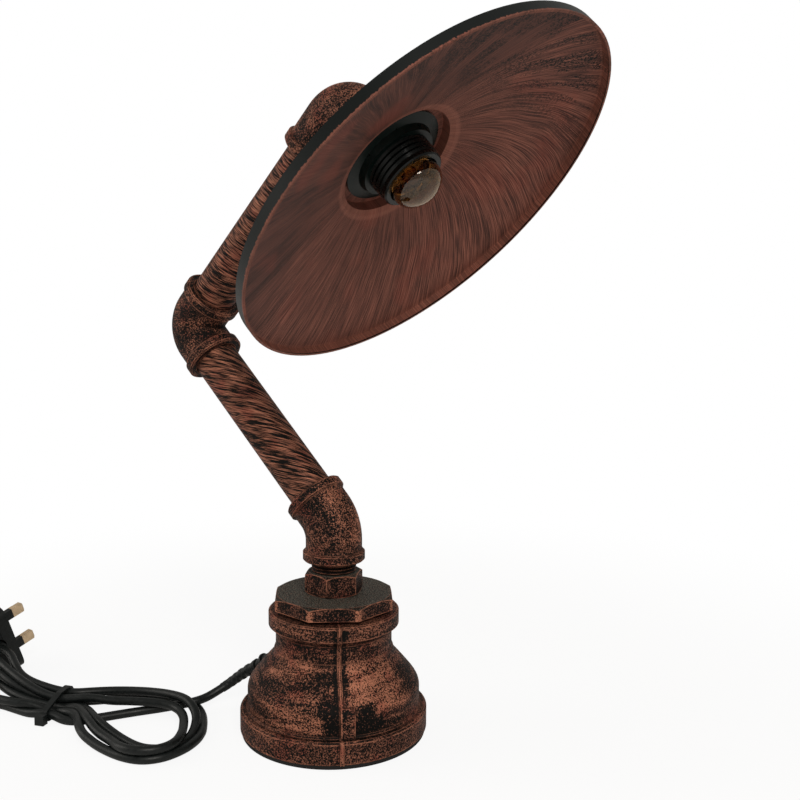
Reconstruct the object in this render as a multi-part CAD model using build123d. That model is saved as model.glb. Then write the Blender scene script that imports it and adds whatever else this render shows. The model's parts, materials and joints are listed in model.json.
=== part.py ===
from build123d import *
import math
import os

# Pipe-fitting table lamp: reducing-socket base, swivelling arm of 3/4 inch pipe and
# elbows, dished steel shade on an E27 lampholder, bulb, mains lead and plug.
# Millimetres. +Z up. Origin: centre of the base pad's underside. The shade faces +X.

# ---------------------------------------------------------------- driving dimensions
running_gap = 0.05          # radial clearance of a thread in its socket
swivel_face_gap = 0.35      # between a swivelling elbow and the shoulder that it turns on
touch_gap = 0.02            # between pieces that rest on each other on a curved face

# 3/4 inch pipe
pipe_radius = 13.45
pipe_wall = 2.65
thread_drop = 0.25          # a threaded end is this much under the pipe's outside
thread_length = 12.0
thread_pitch = 1.81
thread_depth = 1.1

# elbows
elbow_wall = 3.15           # body over the pipe that it takes
elbow_band_rise = 1.7
elbow_band_height = 6.1
elbow_bend_radius = 13.6
slant_bend_radius = 24.0
socket_depth = 13.5
slant_elbow_arm = 22.0
square_elbow_arm = 28.6
head_elbow_inlet_arm = 36.8
slant_angle = 45.0

# arm
lower_pipe_exposed = 108.9
upper_pipe_exposed = 112.8
arm_turn = -1.8             # resting turn of the middle elbow on the lower pipe, degrees

# base casting, from the bottom band up to the collar
pad_inset = 1.0
pad_thickness = 2.2
band_radius = 55.6
band_top = 15.5
belly_inset = 4.5
belly_height = 11.5
neck_inset = 16.7
flare_height = 29.5
neck_height = 5.5
collar_rise = 4.2
collar_taper = 2.9
collar_height = 9.4
casting_wall = 4.2
plate_thickness = 2.0
plate_inset = 6.1
screw_head_room = 0.2       # between the pad and the screws' heads
seam_angle = -48.3          # casting seam, from +X
seam_width = 2.2
seam_height = 0.8
seam_pad_width = 8.0
seam_pad_height = 1.6
seam_pad_bottom = 15.0
seam_pad_top = 32.7
seam_pad_offset = 4.0       # degrees beyond the seam

# reducing bush and nipple
bush_thread_drop = 4.6      # under the neck's outside
bush_thread_length = 17.0
octagon_gap = 2.1
octagon_overhang = 4.2
octagon_height = 7.7
octagon_turn = 14.5
hex_overhang = 2.1
hex_height = 12.6
hex_turn = -7.1
nipple_exposed_thread = 6.3
nipple_wall = 3.2

# base plate screws
screw_inset = 9.5
screw_radius = 2.0
screw_head_radius = 3.8
screw_head_height = 1.6
screw_slot_width = 0.9
screw_slot_depth = 0.6
screw_length = 9.0
boss_wall = 2.6
boss_height = 12.0
boss_web = 3.0
screw_count = 3
first_screw_angle = 60.0

# lead
cord_radius = 2.65
gland_angle = -172.0
gland_rise = 5.0            # above the top of the belly
gland_inset = 3.0           # of its flange, inside the belly's radius
gland_tilt = 30.0           # the lead points this far below level
gland_wall = 1.75
gland_flange_rim = 1.2
gland_flange_thickness = 1.6
gland_tip_wall = 0.85
gland_nose = 6.4
gland_tail = 9.0
flex_gap = 0.3              # between the lengths of lead that meet at a swivel

# lampholder, up from the head elbow's outlet
adaptor_flange_inset = 0.9
adaptor_flange_thickness = 2.4
holder_tube_slack = 0.75    # round the lead
holder_tube_wall = 1.6
holder_tube_reach = 8.0
tube_nut_wall = 2.0
tube_nut_thickness = 2.6
holder_cap_wall = 1.9
contact_block_thickness = 3.0
contact_block_room = 1.7    # between the block and the shade's plate
contact_tongue_height = 0.65
terminal_offset = 7.0
terminal_radius = 1.15
terminal_head_radius = 1.8
core_radius = 1.0
core_offset = 1.3
holder_barrel_height = 20.5
holder_wall = 4.2
holder_thread_rise = 0.6
holder_thread_pitch = 3.0
holder_mouth_slack = 0.6    # round the bulb's glass
screw_shell_slack = 0.25    # round the bulb's cap
screw_shell_wall = 0.4
screw_shell_seat = 0.65
screw_shell_length = 15.0
shade_ring_gap = 4.7        # from the ring to the hole in the shade
shade_ring_flange = 1.8
shade_ring_hub = 4.4
shade_ring_height = 7.0

# shade
shade_rim_radius = 117.6
shade_cone_depth = 25.7
shade_lip = 5.6
shade_wall = 0.9
shade_hole_radius = 34.7
shade_pan_depth = 7.7
shade_step_width = 2.9
shade_step_height = 1.6

# bulb
bulb_cap_radius = 13.1
bulb_thread_depth = 0.6
bulb_cap_wall = 0.5
bulb_cap_length = 15.6
bulb_insulator_height = 3.2
bulb_contact_radius = 4.6
bulb_contact_gap = 0.35
bulb_globe_radius = 14.7
bulb_shoulder = 4.5         # from the cap to the widest part
bulb_dome = 11.3
bulb_glass_wall = 0.7
bulb_seal_depth = 3.5       # glass inside the cap
filament_radius = 0.35
filament_length = 4.8
support_radius = 0.3
support_offset = 1.6

# hank on the table
hank_height = 12.0
hank_end_height = 24.0      # the loops beside the plug stand up to this height
hank_centre = (-152.05, -81.2)
hank_turn = 33.15
tie_width = 4.0
tie_thickness = 1.4
tie_turn = -15.5
tie_knot = 4.4
tie_knot_height = 6.0
strands_below = 5           # side by side in the tie, on the table

# plug on the table, standing on one long edge
plug_pin_direction = (0.095, 0.943, 0.32)
plug_earth_direction = (-0.995, 0.1, 0.0)
plug_centre = (-240.1, -54.8, 25.4)
plug_half_width = 23.4
plug_cable_side = 13.0
plug_earth_side = 32.0
plug_front_depth = 8.0
plug_depth = 20.0
plug_taper = 3.0
plug_step = 0.4             # from the front cover in to the body
line_pin_offset = 11.1
line_pin_width = 6.35
line_pin_thickness = 4.0
line_pin_length = 17.7
line_pin_sleeve = 9.0
pin_sleeve_wall = 0.5
earth_pin_offset = 22.2
earth_pin_width = 4.0
earth_pin_height = 8.0
earth_pin_length = 22.7
pin_root = 4.0
fuse_radius = 3.15
fuse_length = 25.4
fuse_slack = 0.05
plug_boot_length = 3.0
plug_boot_root = -4.0
plug_boot_seat = 8.0        # of the boot that fills its bore
plug_boot_wall = 2.55
plug_boot_tip_wall = 1.0
plug_cord_depth = 12.0
plug_edge_round = 2.5
plug_cable_round = 7.0      # of the corners at the cable side

# ---------------------------------------------------------------- sizes that follow
pipe_bore_radius = pipe_radius - pipe_wall
thread_radius = pipe_radius - thread_drop
thread_bore = thread_radius + running_gap
elbow_body_radius = pipe_radius + elbow_wall
elbow_band_radius = elbow_body_radius + elbow_band_rise
elbow_passage_radius = pipe_bore_radius + 0.2

belly_radius = band_radius - belly_inset
neck_radius = belly_radius - neck_inset
collar_radius = neck_radius + collar_rise
belly_top = band_top + belly_height
neck_bottom = belly_top + flare_height
neck_top = neck_bottom + neck_height
collar_bottom = neck_top + collar_taper
collar_top = collar_bottom + collar_height
plate_radius = band_radius - plate_inset
plate_bottom = pad_thickness + screw_head_room + screw_head_height
plate_top = plate_bottom + plate_thickness
screw_circle = plate_radius - screw_inset
boss_radius = screw_radius + boss_wall

bush_thread_radius = neck_radius - bush_thread_drop
octagon_flats = 2 * (bush_thread_radius + octagon_overhang)
octagon_bottom = collar_top + octagon_gap
octagon_top = octagon_bottom + octagon_height
hex_flats = 2 * (thread_radius + hex_overhang)
hex_top = octagon_top + hex_height
nipple_top = hex_top + nipple_exposed_thread

gland_body_radius = cord_radius + gland_wall
gland_flange_radius = gland_body_radius + gland_flange_rim
gland_seat_radius = belly_radius - gland_inset
gland_height = belly_top + gland_rise

# Heights along the outlet axis of the head, from the head elbow's corner.
adaptor_top = square_elbow_arm + adaptor_flange_thickness
cap_floor = adaptor_top + holder_cap_wall
holder_tube_top = cap_floor + tube_nut_thickness + 0.3
block_bottom = holder_tube_top + 0.2
block_top = block_bottom + contact_block_thickness
shade_plate_back = block_top + contact_block_room
shade_plate_front = shade_plate_back + shade_wall
holder_mouth = shade_plate_front + holder_barrel_height
shade_hole_depth = shade_plate_front + shade_pan_depth
shade_rim_back = shade_hole_depth + shade_cone_depth
shade_rim_depth = shade_rim_back + shade_lip
bulb_tip = block_top + contact_tongue_height + bulb_contact_gap
head_flex_end = cap_floor + 1.0

holder_tube_bore = cord_radius + holder_tube_slack
holder_tube_radius = holder_tube_bore + holder_tube_wall
screw_shell_bore = bulb_cap_radius + screw_shell_slack
screw_shell_radius = screw_shell_bore + screw_shell_wall
holder_bore = screw_shell_radius + screw_shell_seat
holder_mouth_bore = max(bulb_globe_radius, holder_bore) + holder_mouth_slack
holder_barrel_radius = holder_bore + holder_wall
holder_thread_radius = holder_barrel_radius + holder_thread_rise
holder_cap_radius = holder_thread_radius
block_radius = holder_cap_radius - holder_cap_wall - 0.1
shade_ring_radius = shade_hole_radius - shade_ring_gap
plug_boot_radius = cord_radius + plug_boot_wall
strand = 2 * cord_radius
tie_floor = cord_radius + tie_thickness
bundle_side = (strands_below - 1) * cord_radius
hank_waist = bundle_side + cord_radius

# ---------------------------------------------------------------- frames along the arm
slant_corner_height = nipple_top + slant_elbow_arm
lower_run = slant_elbow_arm + lower_pipe_exposed + square_elbow_arm
upper_run = square_elbow_arm + upper_pipe_exposed + head_elbow_inlet_arm

slant_frame = Pos(0, 0, slant_corner_height) * Rot(0, 0, 180)
lower_arm_frame = slant_frame * Rot(0, slant_angle, 0)
middle_frame = lower_arm_frame * Pos(0, 0, lower_run) * Rot(0, 0, 180 + arm_turn)
upper_arm_frame = middle_frame * Rot(0, 90, 0)
top_frame = upper_arm_frame * Pos(0, 0, upper_run)
head_frame = top_frame * Rot(0, 90, 0)

# +Z out along the lead, origin where the gland's flange meets the casting.
gland_frame = (
    Rot(0, 0, gland_angle) * Pos(gland_seat_radius, 0, gland_height) * Rot(0, 90 + gland_tilt, 0)
)
hank_frame = Pos(hank_centre[0], hank_centre[1], 0) * Rot(0, 0, hank_turn)
# +Z along the pins, +X from the line pins to the earth pin, origin between the line pins.
plug_frame = Location(Plane(
    Vector(*plug_centre), x_dir=Vector(*plug_earth_direction), z_dir=Vector(*plug_pin_direction)
))

os.makedirs("parts", exist_ok=True)


def save(name, shape):
    export_step(shape, f"parts/{name}.step")


def point(frame):
    return tuple(frame.position)


def rod(radius, bottom, top):
    return Pos(0, 0, bottom) * extrude(Circle(radius), top - bottom)


def pipe(outer, inner, bottom, top):
    return rod(outer, bottom, top) - rod(inner, bottom - 1, top + 1)


def turned(points):
    """Solid turned about Z from (radius, height) corners."""
    return revolve(Plane.XZ * make_face(Polyline(*points, close=True)), Axis.Z)


def prism(flats, sides, bottom, height, turn):
    outline = RegularPolygon(flats / 2, sides, major_radius=False, rotation=turn)
    return Pos(0, 0, bottom) * extrude(outline, height)


def chamfered_nut(flats, sides, bottom, height, turn, both_ends=True):
    """Prism whose corners are turned back at its ends."""
    corner = flats / 2 / math.cos(math.pi / sides)
    drop = (corner - flats / 2) * 0.58
    start = [(flats / 2, bottom), (corner, bottom + drop)] if both_ends else [(corner, bottom)]
    end = [(corner, bottom + height - drop), (flats / 2, bottom + height)]
    cone = turned([(0, bottom)] + start + end + [(0, bottom + height)])
    return prism(flats, sides, bottom, height, turn) & cone


def ridged_rod(radius, depth, pitch, bottom, top):
    """Rod with evenly spaced thread ridges."""
    turns = max(1, int((top - bottom) / pitch))
    step = (top - bottom) / turns
    points = [(0, bottom), (radius - depth, bottom)]
    for turn in range(turns):
        start = bottom + turn * step
        points.append((radius, start + 0.5 * step))
        points.append((radius - depth, start + step))
    points.append((0, top))
    return turned(points)


def elbow(angle, inlet_arm, outlet_arm, bend_radius):
    """Elbow whose inlet runs up +Z to the corner at the origin and turns towards +X."""
    setback = bend_radius * math.tan(math.radians(angle / 2))
    outlet = Rot(0, angle, 0)
    hub = Axis((bend_radius, 0, -setback), (0, 1, 0))

    disc = Circle(elbow_body_radius) & (Pos(bend_radius - 60.2, 0) * Rectangle(120, 120))
    body = revolve(Pos(0, 0, -setback) * disc, hub, angle)
    body += rod(elbow_body_radius, -inlet_arm, -setback)
    body += outlet * rod(elbow_body_radius, setback, outlet_arm)
    ends = [(0, 0, -inlet_arm - 1), (0, 0, 0), point(outlet * Pos(0, 0, outlet_arm + 1))]
    path = FilletPolyline(*ends, radius=bend_radius)
    passage = sweep(Plane(path @ 0, z_dir=path % 0) * Circle(elbow_passage_radius), path)

    def band(arm):
        inner = arm - elbow_band_height
        ease = 0.9
        return turned([
            (0, inner - 1.6), (elbow_body_radius, inner - 1.6), (elbow_body_radius + 0.5, inner),
            (elbow_band_radius - ease, inner), (elbow_band_radius, inner + ease),
            (elbow_band_radius, arm - ease), (elbow_band_radius - ease, arm), (0, arm),
        ])

    def socket(arm):
        return turned([
            (0, arm - socket_depth), (thread_bore, arm - socket_depth), (thread_bore, arm - 1.0),
            (thread_bore + 0.9, arm + 0.1), (0, arm + 0.1),
        ])

    inlet = Rot(180, 0, 0)
    body += inlet * band(inlet_arm) + outlet * band(outlet_arm)
    return body - inlet * socket(inlet_arm) - outlet * socket(outlet_arm) - passage


def arm_pipe(start_arm, end_start, turning_gap):
    """Pipe from inside one socket to inside the next, with turned-down threaded ends."""
    shoulder_low = start_arm
    shoulder_high = end_start - turning_gap
    body = rod(pipe_radius, shoulder_low, shoulder_high)
    body += rod(thread_radius, shoulder_low - thread_length, shoulder_low)
    body += rod(thread_radius, shoulder_high, end_start + thread_length)
    return body - rod(pipe_bore_radius, shoulder_low - 50, end_start + 50)


def tube_along(points, radius):
    """Round bar along straight runs joined by the largest arcs that the runs allow."""
    points = [Vector(*point) for point in points]
    radii = []
    for before, here, after in zip(points, points[1:], points[2:]):
        turn = math.radians((here - before).get_angle(after - here))
        shorter = min((here - before).length, (after - here).length)
        radii.append(0.45 * shorter / math.tan(turn / 2))
    path = FilletPolyline(*points, radius=radii)
    section = Plane(path @ 0, z_dir=path % 0) * Circle(radius)
    bar = sweep(section, path)
    share = bar.volume / (math.pi * radius ** 2 * path.length)
    print("cord length", round(path.length, 1), "volume share", round(share, 4),
          "radii", [round(value) for value in radii])
    return bar


def flex(points):
    return tube_along(points, cord_radius)


# ---------------------------------------------------------------- base
def reducer_outline(inset):
    """Half section of the casting, drawn in by an inset along the radius."""
    bottom = pad_thickness
    band = band_radius - inset
    belly = belly_radius - inset
    neck = neck_radius - inset
    collar = collar_radius - inset
    flare = [
        (0, 0), (0.03, 0.1), (0.09, 0.17), (0.264, 0.305), (0.464, 0.44), (0.67, 0.576),
        (0.833, 0.678), (0.91, 0.746), (0.955, 0.83), (1, 1),
    ]
    with BuildLine() as line:
        Polyline(
            (0, bottom), (band - 0.8, bottom), (band, bottom + 0.8), (band, band_top - 1.2),
            (band - 1.2, band_top), (belly + 0.8, band_top + 0.4), (belly, band_top + 1.6),
            (belly, belly_top),
        )
        Spline(
            *[(belly - neck_inset * across, belly_top + flare_height * up) for across, up in flare],
            tangents=((0, 1), (0, 1)),
        )
        Polyline(
            (neck, neck_bottom), (neck, neck_top), (collar - 1.0, collar_bottom),
            (collar, collar_bottom + 0.9), (collar, collar_top - 0.9), (collar - 0.9, collar_top),
            (0, collar_top), (0, bottom),
        )
    return make_face(line.line)


def screw_spots():
    for index in range(screw_count):
        yield Rot(0, 0, first_screw_angle + index * 360 / screw_count) * Pos(screw_circle, 0, 0)


def reducer():
    outside = revolve(Plane.XZ * reducer_outline(0), Axis.Z)
    seam_slice = Rot(0, 0, seam_angle) * Pos(100, 0, 0) * Box(200, seam_width, 400)
    seam = revolve(Plane.XZ * reducer_outline(-seam_height), Axis.Z) & seam_slice
    trim = rod(band_radius + 5, pad_thickness, collar_top)
    pad_turn = Rot(0, 0, seam_angle + seam_pad_offset)
    raised = revolve(Plane.XZ * reducer_outline(-seam_pad_height), Axis.Z)
    raised &= pad_turn * Pos(50, 0, 0) * Box(100, seam_pad_width, 400)
    raised &= rod(belly_radius + seam_pad_height, seam_pad_bottom, seam_pad_top)
    body = outside + (seam & trim) + raised
    hollow = revolve(Plane.XZ * reducer_outline(casting_wall), Axis.Z)
    hollow &= rod(belly_radius - casting_wall, plate_top, neck_bottom - 1.5)
    body -= hollow
    body -= rod(plate_radius + 0.1, 0, plate_top)
    body -= rod(bush_thread_radius + running_gap, neck_bottom - 4.5, collar_top + 1)
    for spot in screw_spots():
        middle = plate_top + boss_height / 2
        web = Pos(boss_radius, 0, middle) * Box(2 * boss_radius, boss_web, boss_height)
        boss = rod(boss_radius, plate_top, plate_top + boss_height) + web
        body += spot * (boss & hollow.moved(spot.inverse()))
        body -= spot * rod(screw_radius + running_gap, 0, plate_bottom + screw_length + 1)
    return body - gland_frame * rod(gland_body_radius + touch_gap, -30, 20)


def base_parts():
    casting = reducer()
    save("base_reducer", casting)
    save("base_pad", rod(band_radius - pad_inset, 0, pad_thickness))
    plate = rod(plate_radius, plate_bottom, plate_top)
    head_bottom = plate_bottom - screw_head_height
    screws = []
    for spot in screw_spots():
        plate -= spot * rod(screw_radius + 0.2, 0, plate_top + 1)
        screw = rod(screw_radius, plate_bottom, plate_bottom + screw_length)
        screw += rod(screw_head_radius, head_bottom, plate_bottom)
        slot = Box(2 * screw_head_radius, screw_slot_width, 2 * screw_slot_depth)
        screws.append(spot * (screw - Pos(0, 0, head_bottom) * slot))
    save("base_plate", plate)
    save("base_plate_screws", Compound(screws))

    bore = cord_radius + touch_gap
    gland = turned([
        (bore, -gland_tail), (gland_body_radius, -gland_tail), (gland_body_radius, 0),
        (gland_flange_radius, 0), (gland_flange_radius, gland_flange_thickness - 0.5),
        (gland_flange_radius - 0.5, gland_flange_thickness),
        (gland_body_radius, gland_flange_thickness), (cord_radius + gland_tip_wall, gland_nose),
        (bore, gland_nose),
    ])
    save("cord_gland", gland_frame * gland - casting)


def bush_and_nipple():
    head = chamfered_nut(octagon_flats, 8, octagon_bottom, octagon_height, octagon_turn, False)
    head += rod(bush_thread_radius, octagon_bottom - bush_thread_length, octagon_bottom)
    save("reducing_bush", head - rod(thread_bore, 0, octagon_top + 1))

    nipple = chamfered_nut(hex_flats, 6, octagon_top, hex_height, hex_turn)
    nipple += rod(thread_radius, octagon_top - thread_length - 2, octagon_top)
    nipple += ridged_rod(thread_radius, thread_depth, thread_pitch, hex_top, nipple_top - 0.2)
    nipple += rod(thread_radius, nipple_top - 0.2, nipple_top + thread_length)
    save("hex_nipple", nipple - rod(thread_radius - nipple_wall, 0, 2 * nipple_top))


# ---------------------------------------------------------------- arm
def arm_parts():
    turn_gap = swivel_face_gap
    slant = elbow(slant_angle, slant_elbow_arm - turn_gap, slant_elbow_arm, slant_bend_radius)
    save("lower_elbow", slant_frame * slant)
    lower = arm_pipe(slant_elbow_arm, lower_run - square_elbow_arm, turn_gap)
    save("lower_pipe", lower_arm_frame * lower)
    square = elbow(90, square_elbow_arm, square_elbow_arm, elbow_bend_radius)
    save("middle_elbow", middle_frame * square)
    upper = arm_pipe(square_elbow_arm, upper_run - head_elbow_inlet_arm, turn_gap)
    save("upper_pipe", upper_arm_frame * upper)
    head_elbow = elbow(90, head_elbow_inlet_arm, square_elbow_arm, elbow_bend_radius)
    save("head_elbow", top_frame * head_elbow)


def flex_parts():
    """Lead inside the lamp, one length per moving body, parted on each swivel's axis."""
    crossing = nipple_top - 4
    entry = [point(gland_frame * Pos(0, 0, -gland_tail - rise)) for rise in (0.1, 9)]
    inside_neck = [(-18, -2.5, neck_bottom - 4.5), (-4, -1, neck_top), (0, 0, collar_top + 1.7)]
    save("base_flex", flex(entry + inside_neck + [(0, 0, crossing)]))
    far = lower_run - square_elbow_arm - 4
    end = point(lower_arm_frame * Pos(0, 0, far))
    save("lower_flex", flex([(0, 0, crossing + flex_gap), point(slant_frame), end]))
    start = point(lower_arm_frame * Pos(0, 0, far + flex_gap))
    far = upper_run - head_elbow_inlet_arm - 4
    end = point(upper_arm_frame * Pos(0, 0, far))
    save("upper_flex", flex([start, point(middle_frame), end]))
    start = point(upper_arm_frame * Pos(0, 0, far + flex_gap))
    end = point(head_frame * Pos(0, 0, head_flex_end))
    save("head_flex", flex([start, point(top_frame), end]))


# ---------------------------------------------------------------- head
def shade():
    plate_bore = holder_thread_radius + 0.5
    step_radius = shade_hole_radius + shade_step_width
    step_back = shade_hole_depth - shade_step_height
    inside = shade_rim_radius - shade_wall
    return turned([
        (plate_bore, shade_plate_front), (shade_hole_radius, shade_plate_front),
        (shade_hole_radius, step_back), (step_radius, shade_hole_depth), (inside, shade_rim_back),
        (inside, shade_rim_depth - 1.1), (inside - 0.5, shade_rim_depth),
        (shade_rim_radius, shade_rim_depth), (shade_rim_radius, shade_rim_back - 0.8),
        (step_radius + 0.5, shade_hole_depth - shade_wall - 0.2),
        (shade_hole_radius + shade_wall, step_back - shade_wall),
        (shade_hole_radius + shade_wall, shade_plate_back), (plate_bore, shade_plate_back),
    ])


def holder_fixings():
    face = square_elbow_arm
    tube_hole = rod(holder_tube_radius + running_gap, 0, holder_mouth)
    adaptor = rod(thread_radius, face - thread_length, face)
    adaptor += rod(elbow_band_radius - adaptor_flange_inset, face, adaptor_top)
    save("holder_adaptor", head_frame * (adaptor - tube_hole))
    tube = pipe(holder_tube_radius, holder_tube_bore, face - holder_tube_reach, holder_tube_top)
    save("holder_tube", head_frame * tube)
    flats = 2 * (holder_tube_radius + tube_nut_wall)
    nut = chamfered_nut(flats, 6, cap_floor, tube_nut_thickness, 0)
    save("tube_nut", head_frame * (nut - tube_hole))

    inner = holder_cap_radius - holder_cap_wall
    flange = holder_cap_radius + 2.6
    cap = turned([
        (0, adaptor_top), (holder_cap_radius - 3, adaptor_top), (holder_cap_radius, adaptor_top + 3),
        (holder_cap_radius, shade_plate_back - 1.6), (flange, shade_plate_back - 1.6),
        (flange, shade_plate_back), (inner, shade_plate_back), (inner, cap_floor + 2),
        (inner - 2.5, cap_floor), (0, cap_floor),
    ])
    save("holder_cap", head_frame * (cap - tube_hole))

    bore = holder_thread_radius + 0.12
    ring = turned([
        (bore, shade_plate_front), (shade_ring_radius - 0.6, shade_plate_front),
        (shade_ring_radius, shade_plate_front + 0.6),
        (shade_ring_radius, shade_plate_front + shade_ring_flange),
        (bore + shade_ring_hub, shade_plate_front + shade_ring_flange + 1.4),
        (bore + shade_ring_hub - 1.4, shade_plate_front + shade_ring_height),
        (bore, shade_plate_front + shade_ring_height),
    ])
    save("shade_ring", head_frame * ring)
    save("shade", head_frame * shade())


def lampholder():
    core_end = block_bottom + contact_block_thickness / 2
    block = rod(block_radius, block_bottom, block_top)
    for side in (1, -1):
        block -= Pos(0, side * terminal_offset, 0) * rod(terminal_radius + running_gap, 0, holder_mouth)
        block -= Pos(0, side * core_offset, 0) * rod(core_radius + touch_gap, 0, core_end)
    save("contact_block", head_frame * block)

    barrel = rod(block_radius - touch_gap, block_top, shade_plate_back)
    barrel += ridged_rod(holder_thread_radius, holder_thread_rise + 0.1, holder_thread_pitch,
                         shade_plate_back, holder_mouth - 3)
    barrel += rod(holder_barrel_radius, holder_mouth - 3, holder_mouth - 0.8)
    barrel += turned([
        (0, holder_mouth - 0.8), (holder_barrel_radius, holder_mouth - 0.8),
        (holder_barrel_radius - 0.8, holder_mouth), (0, holder_mouth),
    ])
    barrel -= rod(holder_bore, 0, holder_mouth)
    barrel -= rod(holder_mouth_bore, holder_mouth - 6, holder_mouth + 1)
    save("holder_body", head_frame * barrel)

    shell = pipe(screw_shell_radius, screw_shell_bore, block_top, block_top + screw_shell_length)
    seat = pipe(holder_bore - touch_gap, screw_shell_bore, block_top, block_top + 1.2)
    save("screw_shell", head_frame * (shell + seat))
    tongue = Pos(0, 0, block_top + contact_tongue_height / 2) * Box(6, 4, contact_tongue_height)
    save("centre_contact", head_frame * tongue)
    terminals = []
    for side in (1, -1):
        screw = rod(terminal_radius, block_bottom, block_top)
        screw += rod(terminal_head_radius, block_top, block_top + 1.2)
        terminals.append(head_frame * Pos(0, side * terminal_offset, 0) * screw)
    save("terminal_screws", Compound(terminals))
    for side, name in ((1, "live_core"), (-1, "neutral_core")):
        core = rod(core_radius, head_flex_end, core_end)
        save(name, head_frame * Pos(0, side * core_offset, 0) * core)


# ---------------------------------------------------------------- bulb
def bulb_parts():
    contact_top = bulb_tip + 1.0
    save("bulb_contact", head_frame * rod(bulb_contact_radius, bulb_tip, contact_top))
    insulator_top = contact_top + bulb_insulator_height
    cap_bore = bulb_cap_radius - bulb_thread_depth - bulb_cap_wall
    insulator = turned([
        (0, contact_top), (bulb_contact_radius, contact_top), (cap_bore - 0.6, insulator_top),
        (0, insulator_top),
    ])
    save("bulb_insulator", head_frame * insulator)
    cap_top = insulator_top + bulb_cap_length
    cap = ridged_rod(bulb_cap_radius, bulb_thread_depth, 3.6, insulator_top, cap_top - 4)
    cap += rod(bulb_cap_radius - 0.2, cap_top - 4, cap_top)
    cap -= rod(cap_bore, insulator_top + 0.4, cap_top + 1)
    save("bulb_cap", head_frame * cap)

    seal = cap_top - bulb_seal_depth
    widest = cap_top + bulb_shoulder

    def bulb_outline(inset):
        neck = cap_bore - 0.1 - inset
        globe = bulb_globe_radius - inset
        dome = bulb_dome - inset
        with BuildLine() as line:
            Polyline((0, seal + inset), (neck, seal + inset), (neck, cap_top))
            Spline((neck, cap_top), (globe, widest), tangents=((0.3, 1), (0, 1)))
            Spline(
                (globe, widest), (0.707 * globe, widest + 0.707 * dome), (0, widest + dome),
                tangents=((0, 1), (-1, 0)),
            )
            Line((0, widest + dome), (0, seal + inset))
        return make_face(line.line)

    outside = revolve(Plane.XZ * bulb_outline(0), Axis.Z)
    inside = revolve(Plane.XZ * bulb_outline(bulb_glass_wall), Axis.Z)
    save("bulb_glass", head_frame * (outside - inside))
    stem_bottom = seal + bulb_glass_wall
    stem = turned([
        (0, stem_bottom), (5.0, stem_bottom), (3.2, stem_bottom + 3.5), (2.6, cap_top + 3.3),
        (0, cap_top + 4.3),
    ])
    save("bulb_stem", head_frame * stem)
    coil_height = cap_top + 6.8
    wires = []
    for side in (1, -1):
        wire = Pos(side * support_offset, 0, 0) * rod(support_radius, cap_top, coil_height)
        wires.append(head_frame * (wire - stem))
    save("bulb_supports", Compound(wires))
    half = filament_length / 2
    coil = Rot(0, 90, 0) * rod(filament_radius, -half, half)
    save("bulb_filament", head_frame * Pos(0, 0, coil_height + filament_radius) * coil)


# ---------------------------------------------------------------- hank and leads
# Edges of the hank's loops about the tie, in the hank's frame.
right_loop = [
    (22, 18.5), (40, 21.5), (58, 21.8), (74, 18), (86, 6), (94, -10), (96, -27), (93, -43),
    (86, -57), (76, -67), (66, -68), (52, -60), (36, -49), (21, -37), (10, -22),
]
right_hole = [
    (34, -16), (50, -9), (66, -7.5), (75, -17), (79, -30), (77, -45), (66, -46), (52, -37), (41, -27),
]
left_loop = [
    (-12, 17.5), (-26, 25.5), (-38, 32), (-47, 36.5), (-56, 42.5), (-66, 48.5), (-78, 53),
    (-91, 52), (-100.5, 44), (-101, 32), (-94, 20), (-80, 13), (-64, 9.5), (-50, 6), (-36, -1.5),
    (-20, -7.5),
]
left_hole = [
    (-13, 1.5), (-22, 0.5), (-34, 3.5), (-46, 8.5), (-58, 14), (-70, 17), (-82, 22), (-79, 24.5),
    (-66, 24.5), (-54, 26), (-45, 20), (-34, 12.5), (-23, 5.5),
]
lead_route = [
    (-66.5, -9.5, 21.0), (-77.5, -19.0, 10.9), (-84.5, -35.5, 7.6), (-98.0, -47.0, 4.6),
]
tail_route = [
    (-202.5, -73.5, 17.2), (-190.5, -76.8, 13.4), (-176.5, -76.2, 11.1), (-162.0, -73.0, 9.5),
]


def loop_face(edge, hole):
    """One loop of the hank, from the waist at the tie round to the waist again."""
    start = (0, hank_waist)
    end = (0, -hank_waist)
    outline = Spline(start, *edge, end) + Line(end, start)
    return make_face(outline) - make_face(Spline(*hole, periodic=True))


def hank_solid():
    right = extrude(loop_face(right_loop, right_hole) + Circle(hank_waist), hank_height)
    left = extrude(loop_face(left_loop, left_hole), hank_end_height)
    ramp = Plane.XZ * make_face(Polyline(
        (5, -5), (5, hank_height), (0, hank_height), (-50, hank_end_height), (-150, hank_end_height),
        (-150, -5), close=True,
    ))
    return right + (left & extrude(ramp, 200, both=True))


def bundle(spread, length):
    """Bar along X through the tie, this much round the centres of the bundle's outer strands."""
    centres = Polyline(
        (-bundle_side, tie_floor), (bundle_side, tie_floor), (bundle_side, tie_floor + strand),
        (cord_radius, tie_floor + 0.87 * strand), close=True,
    )
    section = Plane.YZ * offset(make_face(centres), spread)
    return Pos(-length / 2, 0, 0) * extrude(section, length)


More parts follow.
